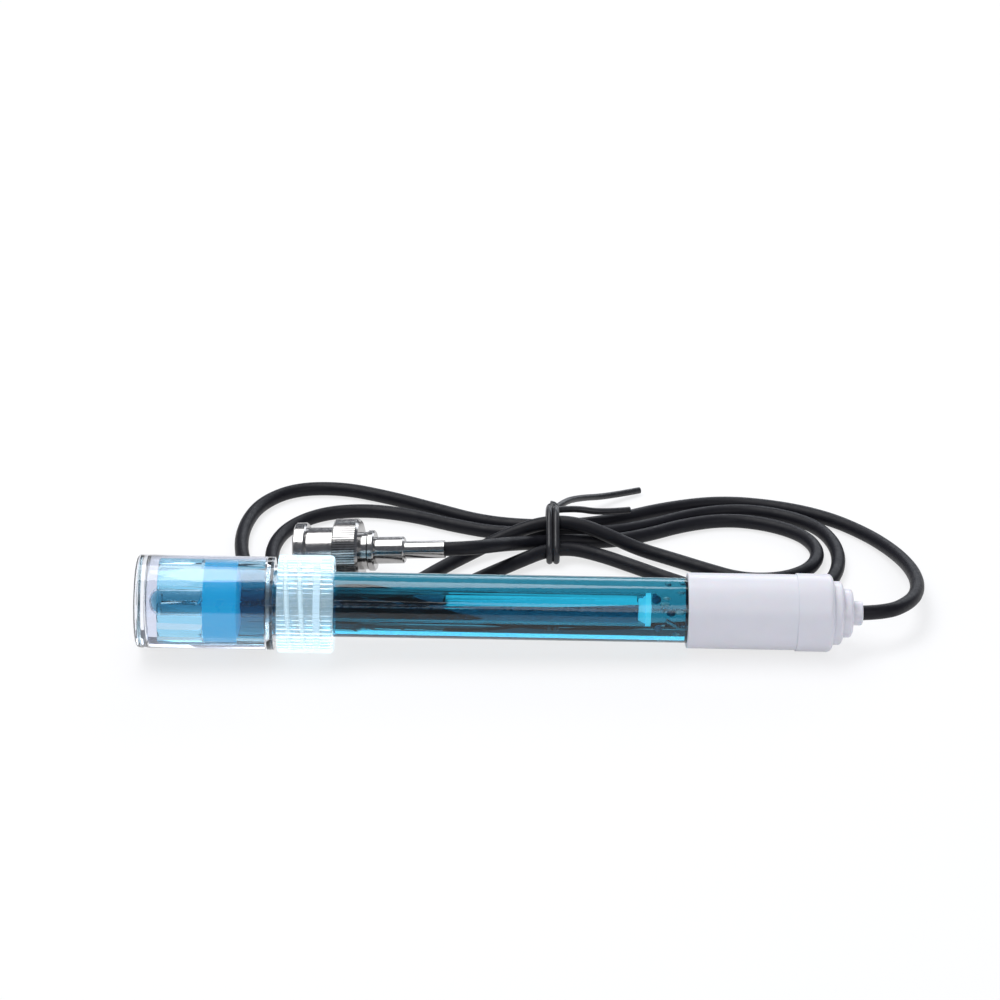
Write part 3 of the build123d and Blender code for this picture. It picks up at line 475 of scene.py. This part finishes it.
class ELECTRODE_OT_tie(bpy.types.Operator):
    """The coated wire that ties the hank: two turns, a knot and two tails"""

    bl_idname = "electrode.tie"
    bl_label = "Tie"

    def execute(self, context):
        data = wire_curve("twist_tie_wire", looks().tie_diameter, 4)
        for turn in TIE_TURNS:
            wire_spline(data, in_metres((turn, y, z) for y, z in TIE_WRAP), cyclic=True)
        knot = []
        for step in range(15):
            angle = step * math.pi / 3
            knot.append((
                TIE_KNOT[0] + TIE_KNOT_RADIUS * math.cos(angle), TIE_KNOT[1] + 0.18 * step - 1.2,
                TIE_KNOT[2] + TIE_KNOT_RADIUS * math.sin(angle)))
        wire_spline(data, in_metres(knot))
        for tail in TIE_TAILS:
            wire_spline(data, in_metres(tail))
        tie = bpy.data.objects.new("twist_tie_wire", data)
        context.scene.collection.objects.link(tie)
        pick(tie)
        bpy.ops.object.convert(target="MESH")
        tie = context.object
        settle(tie, "twist_tie_wire", 40)
        coat = solid_finish(
            "tie_coat", (0.012, 0.012, 0.014), (0.03, 0.03, 0.034), (0.28, 0.42), 1200, 0.04 * MM)
        finish_piece(tie, coat, "electrode", "tie_black", "twist_tie")
        return {"FINISHED"}


class ELECTRODE_OT_body(bpy.types.Operator):
    """The clear guard tube, whose prongs stand in liquid, and the gel inside it"""

    bl_idname = "electrode.body"
    bl_label = "Body and gel"

    def execute(self, context):
        source = frame["nodes"]["guard_tube"]
        tube = source.copy()
        tube.data = source.data.copy()
        tube.parent = None
        for key in list(tube.keys()):
            del tube[key]
        context.scene.collection.objects.link(tube)
        pick(tube)
        bpy.ops.object.mode_set(mode="EDIT")
        bpy.ops.mesh.select_all(action="SELECT")
        bpy.ops.mesh.remove_doubles(threshold=0.001 * MM)
        bpy.ops.mesh.bisect(plane_co=electrode_point(LIQUID_END), plane_no=AXIS)
        bpy.ops.object.mode_set(mode="OBJECT")
        settle(tube, "guard_tube_shell", 25)
        tube.data.materials.clear()
        acrylic = clear_finish("clear_tube", 1.49, 0.0, (0.96, 0.975, 1.0), ripple=0.001 * MM, scale=160)
        wetted = clear_finish("clear_tube_in_liquid", 1.16, 0.0, (0.62, 0.93, 1.0), ripple=0.001 * MM, scale=160)
        bore = clear_finish("tube_bore_in_gel", 1.0, 0.0, (1, 1, 1), scale=160)
        for material in (acrylic, wetted, bore):
            tube.data.materials.append(material)
        for face in tube.data.polygons:
            station = (face.center - TIP).dot(AXIS) / MM
            away = (face.center - TIP - AXIS * station * MM).length / MM
            inside = away < TUBE_BORE and 17 < station < GEL_END
            face.material_index = 2 if inside else 1 if station < LIQUID_END else 0
        finish_piece(tube, acrylic, "electrode", "clear_plastic", "guard_tube")
        gel = turned("gel_fill", TIP, AXIS, [
            (GEL_START, 0), (GEL_START, GEL_RADIUS), (LIQUID_END, GEL_RADIUS), (65, GEL_RADIUS),
            (90, GEL_RADIUS), (GEL_END, GEL_RADIUS), (GEL_END, 0)], 128)
        through = (tuple(looks().gel_colour), looks().gel_depth)
        blue = clear_finish(
            "blue_gel", 1.02, 0.0, (1, 1, 1), ripple=0.004 * MM, stretch=(0.05, 1, 1), scale=260, absorb=through)
        gel.data.materials.append(blue)
        gel.data.materials.append(clear_finish(
            "blue_gel_in_liquid", 1.01, 0.0, (1, 1, 1), ripple=0.002 * MM, scale=260, absorb=through))
        for face in gel.data.polygons:
            face.material_index = 1 if (face.center - TIP).dot(AXIS) < LIQUID_END * MM else 0
        finish_piece(gel, blue, "electrode", "gel_blue", "reference_gel")
        return {"FINISHED"}


class ELECTRODE_OT_stem(bpy.types.Operator):
    """The long air bubble in the glass stem, with a painted highlight along its top, and the small bubbles in
    the gel by the head, as dots in painted glint colours
    """

    bl_idname = "electrode.stem"
    bl_label = "Stem and bubbles"

    def execute(self, context):
        deselect()
        level = electrode_point(BUBBLE_MIDDLE).z + (2.0 - 0.95) * MM
        bubble = turned("stem_bubble", TIP, AXIS, [
            (60.5, 0), (60.55, 0.8), (60.8, 1.4), (61.3, 1.8), (62.0, 1.96), (80, 1.96), (102.3, 1.96),
            (102.55, 1.8), (102.58, 0)], 64)
        pick(bubble)
        bpy.ops.object.mode_set(mode="EDIT")
        bpy.ops.mesh.select_all(action="SELECT")
        bpy.ops.mesh.bisect(
            plane_co=(0, 0, level + 0.02 * MM), plane_no=(0, 0, 1), clear_inner=True, use_fill=True)
        bpy.ops.mesh.select_all(action="SELECT")
        bpy.ops.mesh.normals_make_consistent(inside=False)
        bpy.ops.object.mode_set(mode="OBJECT")
        settle(bubble, "stem_bubble", 40)
        air = bpy.data.materials.new("air_in_liquid_painted_highlight")
        air.use_nodes = True
        nodes, links = air.node_tree.nodes, air.node_tree.links
        nodes.remove(nodes["Principled BSDF"])
        glass = nodes.new("ShaderNodeBsdfGlass")
        glass.inputs["IOR"].default_value = 0.746
        glass.inputs["Roughness"].default_value = 0.0
        grain = speckle(nodes, links, 500, stretch=(0.1, 1, 1))
        relief(nodes, links, grain, 0.01 * MM, glass.inputs["Normal"])
        # Painted highlight: the faces of the bubble that look up glow light cyan, a band in place of the light
        # that its top reflects.
        surface = nodes.new("ShaderNodeNewGeometry")
        upward = nodes.new("ShaderNodeSeparateXYZ")
        links.new(surface.outputs["True Normal"], upward.inputs["Vector"])
        painted_highlight_band = nodes.new("ShaderNodeMapRange")
        painted_highlight_band.inputs["From Min"].default_value = 0.82
        painted_highlight_band.inputs["From Max"].default_value = 0.99
        painted_highlight_band.inputs["To Max"].default_value = 0.75
        links.new(upward.outputs["Z"], painted_highlight_band.inputs["Value"])
        painted_highlight = nodes.new("ShaderNodeEmission")
        painted_highlight.inputs["Color"].default_value = (0.1, 0.8, 1.0, 1)
        painted_highlight.inputs["Strength"].default_value = 1.3
        share = nodes.new("ShaderNodeMixShader")
        links.new(painted_highlight_band.outputs["Result"], share.inputs["Fac"])
        links.new(glass.outputs["BSDF"], share.inputs[1])
        links.new(painted_highlight.outputs["Emission"], share.inputs[2])
        links.new(share.outputs["Shader"], nodes["Material Output"].inputs["Surface"])
        finish_piece(bubble, air, "electrode", "buffer_blue")
        # The small bubbles are opaque dots in light cyan painted glint colours, standing in for glints of light
        # in the gel.
        glint = solid_finish(
            "bubble_glint", (0.1, 0.55, 0.75), (0.5, 0.9, 1.0), (0.1, 0.2), 900, 0.02 * MM)
        first = None
        for index in range(looks().bubble_count):
            turn = index * 2.4
            station = LOOSE_BUBBLES + (index * 5 % 16) * 0.4
            reach = 3.4 + (index * 7 % 5) * 0.45
            place = electrode_point(station) + Vector(
                (0, math.cos(turn) * reach * MM, math.sin(turn) * reach * MM))
            size = (0.28 + (index * 3 % 4) * 0.12) * MM
            deselect()
            bpy.ops.mesh.primitive_ico_sphere_add(subdivisions=2, radius=size, location=place)
            dot = context.object
            bpy.ops.object.mode_set(mode="EDIT")
            bpy.ops.transform.resize(value=(1.7, 0.8, 0.7), center_override=place)
            bpy.ops.object.mode_set(mode="OBJECT")
            settle(dot, f"gel_bubble_{index + 1:02d}", 60)
            finish_piece(dot, glint, "electrode", "gel_blue")
        return {"FINISHED"}


class ELECTRODE_OT_bottle(bpy.types.Operator):
    """The soaking liquid round the tip and the screw thread on the bottle's neck"""

    bl_idname = "electrode.bottle"
    bl_label = "Bottle"

    def execute(self, context):
        liquid = turned("soaking_liquid", TIP, AXIS, [
            (-2.75, 0), (-2.75, 8.0), (-2.5, 8.5), (-1.9, LIQUID_RADIUS), (8, LIQUID_RADIUS),
            (LIQUID_END, LIQUID_RADIUS), (LIQUID_END, TUBE_OPENING), (LIQUID_END, 0)], 128)
        tint = ((0.0, 0.12, 0.6), 13.0)
        clear = clear_finish("soaking_liquid", 1.33, 0.0, (1, 1, 1), ripple=0.003 * MM, scale=120, absorb=tint)
        liquid.data.materials.append(clear)
        liquid.data.materials.append(clear_finish(
            "liquid_round_tube", 1.0, 0.0, (1, 1, 1), scale=120, absorb=tint))
        for face in liquid.data.polygons:
            station = (face.center - TIP).dot(AXIS)
            away = (face.center - TIP - AXIS * station).length
            face.material_index = 1 if station > 22.6 * MM and away < 7.0 * MM else 0
        finish_piece(liquid, clear, "bottle", "solution_clear", "storage_solution")
        deselect()
        pitch, turns = looks().thread_pitch, looks().thread_turns
        bpy.ops.mesh.primitive_circle_add(
            vertices=6, radius=THREAD_SIZE * MM, location=(THREAD_RADIUS * MM, 0, 0),
            rotation=(math.radians(90), 0, 0))
        thread = context.object
        bpy.ops.object.mode_set(mode="EDIT")
        bpy.ops.mesh.select_all(action="SELECT")
        bpy.ops.transform.resize(value=(1.0, 1.0, 0.8), center_override=(THREAD_RADIUS * MM, 0, 0))
        bpy.ops.object.mode_set(mode="OBJECT")
        pick(thread)
        bpy.ops.object.transform_apply(location=True, rotation=True, scale=True)
        wind = thread.modifiers.new("wind", "SCREW")
        wind.angle = math.tau * turns
        wind.screw_offset = pitch * turns
        wind.steps = wind.render_steps = int(64 * turns)
        bpy.ops.object.modifier_apply(modifier=wind.name)
        bpy.ops.object.mode_set(mode="EDIT")
        bpy.ops.mesh.select_mode(type="EDGE")
        bpy.ops.mesh.select_all(action="DESELECT")
        bpy.ops.mesh.select_non_manifold()
        bpy.ops.mesh.fill()
        bpy.ops.mesh.select_all(action="SELECT")
        bpy.ops.mesh.normals_make_consistent(inside=False)
        bpy.ops.object.mode_set(mode="OBJECT")
        thread.rotation_euler = AXIS.to_track_quat("Z", "Y").to_euler()
        thread.location = electrode_point(THREAD_START)
        settle(thread, "neck_thread", 50)
        bottle_plastic = clear_finish(
            "bottle_plastic", 1.5, 0.0, (0.95, 0.965, 1.0), ripple=0.006 * MM, scale=110)
        finish_node("storage_bottle", bottle_plastic)
        finish_piece(thread, clear_finish(
            "thread_plastic", 1.4, 0.1, (0.92, 0.97, 1.0), ripple=0.004 * MM, scale=500, through=0.35),
            "bottle", "bottle_clear")
        # The cap gives off a faint light cyan painted glow, which makes it look lit through.
        cap_plastic_painted_glow = clear_finish(
            "cap_plastic_painted_glow", 1.2, 0.03, (0.95, 0.98, 1.0), ripple=0.008 * MM, scale=500, through=0.93,
            painted_glow=((0.55, 0.85, 1.0), 0.16))
        finish_node("screw_cap", cap_plastic_painted_glow)
        finish_node("cap_seal", solid_finish(
            "ring_rubber", (0.45, 0.5, 0.56), (0.62, 0.68, 0.76), (0.4, 0.55), 500, 0.03 * MM))
        return {"FINISHED"}


class ELECTRODE_OT_solids(bpy.types.Operator):
    """Finishes of the solids that keep their own shape"""

    bl_idname = "electrode.solids"
    bl_label = "Head, tip and plug"

    def execute(self, context):
        head, seal = tuple(looks().head_colour), tuple(looks().seal_colour)
        white = solid_finish(
            "white_head", scaled(head, 0.97), scaled(head, 1.02), (0.3, 0.38), 260, 0.012 * MM, subsurface=0.15)
        # The seal gives off a painted glow in its light colour, in place of the light that reaches it through
        # the tube and the liquid.
        cyan = solid_finish(
            "cyan_seal_painted_glow", scaled(seal, 0.9), scaled(seal, 1.15), (0.25, 0.4), 420, 0.03 * MM, painted_glow=0.55)
        # The stopper gives off a painted glow in its light colour, in place of the light that reaches it through
        # the gel.
        stopper = solid_finish(
            "cyan_stopper_painted_glow", (0.1, 0.62, 0.85), (0.25, 0.85, 1.0), (0.25, 0.4), 420, 0.03 * MM, painted_glow=1.0)
        nickel = solid_finish(
            "nickel_plate", (0.34, 0.335, 0.33), (0.47, 0.46, 0.455), (0.14, 0.26), 700, 0.006 * MM,
            metallic=1.0, stretch=(3, 1, 1))
        spring_metal = solid_finish(
            "spring_metal", (0.5, 0.49, 0.47), (0.64, 0.62, 0.59), (0.2, 0.32), 700, 0.008 * MM, metallic=1.0)
        finishes = {
            "head_sleeve": white, "head_cap": white, "tip_seal": cyan, "stem_stopper": stopper,
            "plug_body": nickel, "coupling_nut": nickel, "crimp_ferrule": nickel,
            "plug_contact_sleeve": spring_metal, "plug_retaining_ring": spring_metal,
            "plug_spring_washer": spring_metal, "plug_thrust_washer": spring_metal,
            "plug_centre_pin": solid_finish(
                "gold_plate", (0.75, 0.5, 0.18), (0.9, 0.64, 0.26), (0.12, 0.24), 900, 0.006 * MM, metallic=1.0),
            "plug_insulator": solid_finish(
                "insulator_white", (0.78, 0.78, 0.77), (0.86, 0.86, 0.85), (0.35, 0.5), 500, 0.02 * MM),
            "plug_gasket": solid_finish(
                "gasket_rubber", (0.16, 0.03, 0.025), (0.26, 0.05, 0.04), (0.5, 0.65), 700, 0.03 * MM),
            "ceramic_junction": solid_finish(
                "porous_ceramic", (0.74, 0.72, 0.68), (0.88, 0.87, 0.84), (0.7, 0.9), 2500, 0.06 * MM),
            "silver_wire": solid_finish(
                "silver_wire", (0.6, 0.6, 0.62), (0.8, 0.8, 0.82), (0.2, 0.35), 1500, 0.01 * MM, metallic=1.0),
            "potting_plug": solid_finish(
                "potting_resin", (0.55, 0.56, 0.58), (0.68, 0.7, 0.72), (0.15, 0.3), 250, 0.04 * MM),
            "core_lead": solid_finish(
                "lead_sleeve", (0.7, 0.7, 0.68), (0.8, 0.8, 0.78), (0.35, 0.5), 700, 0.02 * MM)}
        finishes["reference_wire"] = finishes["shield_lead"] = finishes["silver_wire"]
        for node, material in finishes.items():
            finish_node(node, material)
        finish_node("glass_stem", clear_finish(
            "stem_glass", 1.16, 0.0, (0.94, 0.98, 1.0), ripple=0.004 * MM, scale=200, stretch=(0.2, 1, 1)))
        finish_node("inner_buffer", clear_finish(
            "inner_buffer", 1.03, 0.0, (1, 1, 1), scale=200, absorb=((0.0, 0.5, 0.62), 600)))
        return {"FINISHED"}


class ELECTRODE_PT_panel(bpy.types.Panel):
    """Sidebar panel with the electrode's pieces"""

    bl_label = "pH Electrode"
    bl_idname = "ELECTRODE_PT_panel"
    bl_space_type = "VIEW_3D"
    bl_region_type = "UI"
    bl_category = "Electrode"

    def draw(self, context):
        for name in ElectrodeLooks.__annotations__:
            self.layout.prop(context.scene.electrode_looks, name)
        for operator in OPERATORS:
            self.layout.operator(operator.bl_idname)


OPERATORS = (
    ELECTRODE_OT_studio, ELECTRODE_OT_tie, ELECTRODE_OT_cable, ELECTRODE_OT_body, ELECTRODE_OT_stem,
    ELECTRODE_OT_bottle, ELECTRODE_OT_solids)
CLASSES = (ElectrodeLooks, *OPERATORS, ELECTRODE_PT_panel)


def register():
    for entry in CLASSES:
        bpy.utils.register_class(entry)
    bpy.types.Scene.electrode_looks = bpy.props.PointerProperty(type=ElectrodeLooks)


def unregister():
    del bpy.types.Scene.electrode_looks
    for entry in reversed(CLASSES):
        bpy.utils.unregister_class(entry)


def main():
    register()
    bpy.ops.electrode.studio()
    bpy.ops.electrode.tie()
    bpy.ops.electrode.cable()
    bpy.ops.electrode.body()
    bpy.ops.electrode.stem()
    bpy.ops.electrode.bottle()
    bpy.ops.electrode.solids()


if __name__ == "__main__":
    main()
